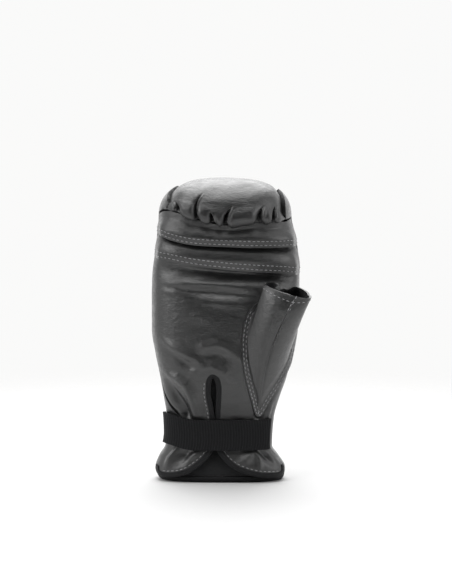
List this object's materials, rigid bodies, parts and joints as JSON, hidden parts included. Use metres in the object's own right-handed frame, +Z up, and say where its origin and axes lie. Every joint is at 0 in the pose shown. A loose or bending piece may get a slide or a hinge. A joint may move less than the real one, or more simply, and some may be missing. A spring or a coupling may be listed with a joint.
{
  "type": "bag glove",
  "caption": "Padded right-hand striking glove with a gathered knuckle pad, side gussets, lapped palm bands, a thumb tube and a slit cuff closed by an elastic strap.",
  "frame": {"origin": "on the floor under the middle of the glove's outer box", "axes": "+Z up from the cuff to the knuckles, -Y out of the palm towards the picture's camera, +X towards the thumb"},
  "size_m": [0.1294, 0.0924, 0.2486],
  "materials": {
    "dark_leather": "soft sheen, fine grain",
    "elastic_webbing": "matt ribbed elastic",
    "black_binding": "smooth folded tape",
    "black_lining": "matt cloth"
  },
  "bodies": {
    "root": {"striking_pad": "dark_leather", "side_gusset_left": "dark_leather", "side_gusset_right": "dark_leather", "finger_band": "dark_leather", "grip_band": "dark_leather", "palm_panel": "dark_leather", "thumb_sleeve": "dark_leather", "wrist_strap": "elastic_webbing", "palm_binding": "black_binding", "hem_binding": "black_binding", "cuff_lining": "black_lining"}
  },
  "joints": []
}
